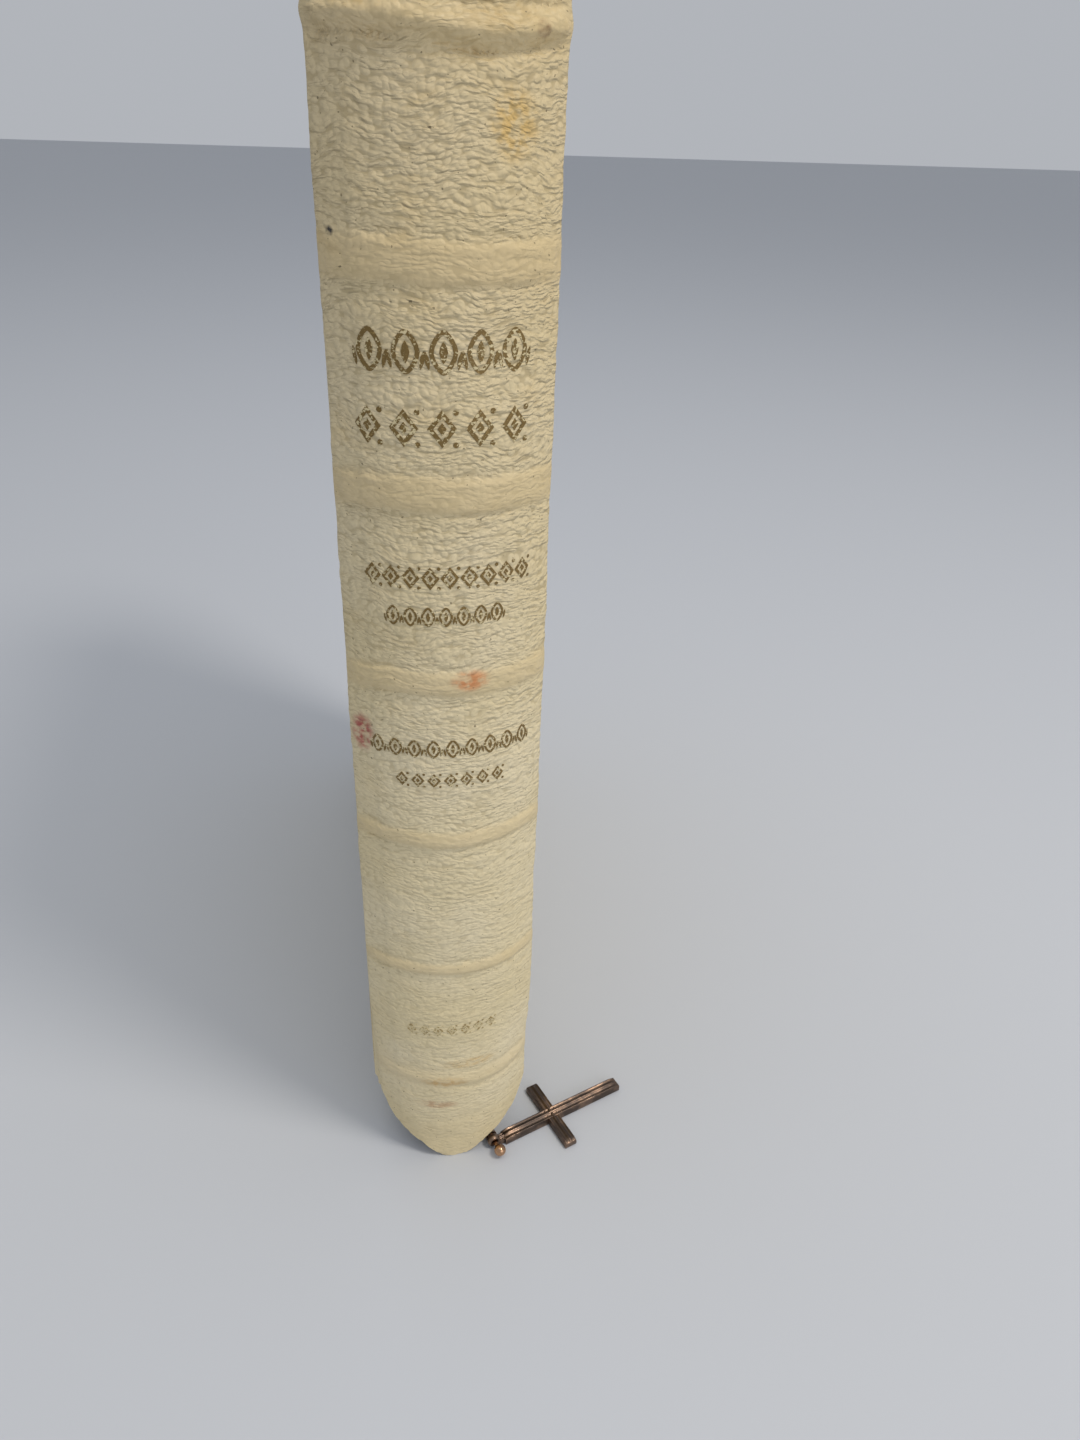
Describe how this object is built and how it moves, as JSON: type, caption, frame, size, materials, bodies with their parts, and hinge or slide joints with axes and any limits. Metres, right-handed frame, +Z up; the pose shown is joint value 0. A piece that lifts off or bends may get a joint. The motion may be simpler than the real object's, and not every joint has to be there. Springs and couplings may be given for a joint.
{
  "type": "zip-around leather bible",
  "caption": "Devotional book in cream pebbled leather with a rounded, raised-band spine, a zip round its three open edges and a small cross hanging from the slider.",
  "frame": {"origin": "middle of the small flat foot at the tail of the spine, on the mid-plane between the covers", "axes": "+Z up along the spine, +Y from the spine to the fore-edge, +X towards the front cover"},
  "size_m": [0.0513, 0.1482, 0.214],
  "materials": {
    "leather": "pebble grain, aged cream, soft satin",
    "board": "matt",
    "cloth": "woven",
    "paper": "thin, gilt on its three cut edges",
    "endpaper": "matt",
    "zip_cloth": "herringbone woven tape",
    "thread": "twisted thread",
    "brass": "dulled",
    "bright_brass": "rubbed bright",
    "old_brass": "tarnished brown, darker in the hollows"
  },
  "bodies": {
    "book": {"spine_leather": "leather", "spine_liner": "board", "raised_bands": "board", "mull": "cloth", "sewing_tapes": "cloth", "signatures": "paper", "headband": "cloth", "tailband": "cloth"},
    "front_cover": {"front_cover_leather": "leather", "front_board": "board", "front_pastedown": "endpaper", "front_zip_tape": "zip_cloth", "front_zip_teeth": "brass", "front_zip_stops": "brass", "front_stitching": "thread"},
    "back_cover": {"back_cover_leather": "leather", "back_board": "board", "back_pastedown": "endpaper", "back_zip_tape": "zip_cloth", "back_zip_teeth": "brass", "back_zip_stops": "brass", "back_stitching": "thread"},
    "front_flyleaf": {"front_flyleaf": "endpaper"},
    "title_leaf": {"title_leaf": "paper"},
    "back_flyleaf": {"back_flyleaf": "endpaper"},
    "slider": {"slider": "brass"},
    "pull_link": {"pull_link": "brass", "pull_pin": "bright_brass"},
    "pull_cross": {"pull_cross": "old_brass"}
  },
  "joints": [
    {"name": "front_cover_hinge", "type": "hinge", "parent": "book", "child": "front_cover", "pos_m": [0.0149, 0.007, 0.107], "axis": [0, 0, -1], "range_deg": [0, 150]},
    {"name": "back_cover_hinge", "type": "hinge", "parent": "book", "child": "back_cover", "pos_m": [-0.0149, 0.007, 0.107], "axis": [0, 0, 1], "range_deg": [0, 150]},
    {"name": "front_flyleaf_turn", "type": "hinge", "parent": "book", "child": "front_flyleaf", "pos_m": [0.01145, 0.009, 0.107], "axis": [0, 0, -1], "range_deg": [0, 88]},
    {"name": "title_leaf_turn", "type": "hinge", "parent": "book", "child": "title_leaf", "pos_m": [0.0108, 0.009, 0.107], "axis": [0, 0, -1], "range_deg": [0, 66]},
    {"name": "back_flyleaf_turn", "type": "hinge", "parent": "book", "child": "back_flyleaf", "pos_m": [-0.01145, 0.009, 0.107], "axis": [0, 0, 1], "range_deg": [0, 88]},
    {"name": "zip_slide", "type": "slide", "parent": "back_cover", "child": "slider", "axis": [0, 0.9994, -0.0349], "range_m": [0, 0.108]},
    {"name": "link_swing", "type": "hinge", "parent": "slider", "child": "pull_link", "pos_m": [0, 0.00406, 0.00164], "axis": [0, 0.9994, -0.0349], "range_deg": [0, 90]},
    {"name": "cross_swing", "type": "hinge", "parent": "pull_link", "child": "pull_cross", "pos_m": [0.0077, 0.0005, 0.00164], "axis": [-0.3584, 0.9336, 0], "range_deg": [0, 100]}
  ],
  "couplings": [
    {"joint": "front_flyleaf_turn", "follows": "front_cover_hinge", "ratio": 0.58},
    {"joint": "title_leaf_turn", "follows": "front_cover_hinge", "ratio": 0.42},
    {"joint": "back_flyleaf_turn", "follows": "back_cover_hinge", "ratio": 0.58}
  ]
}
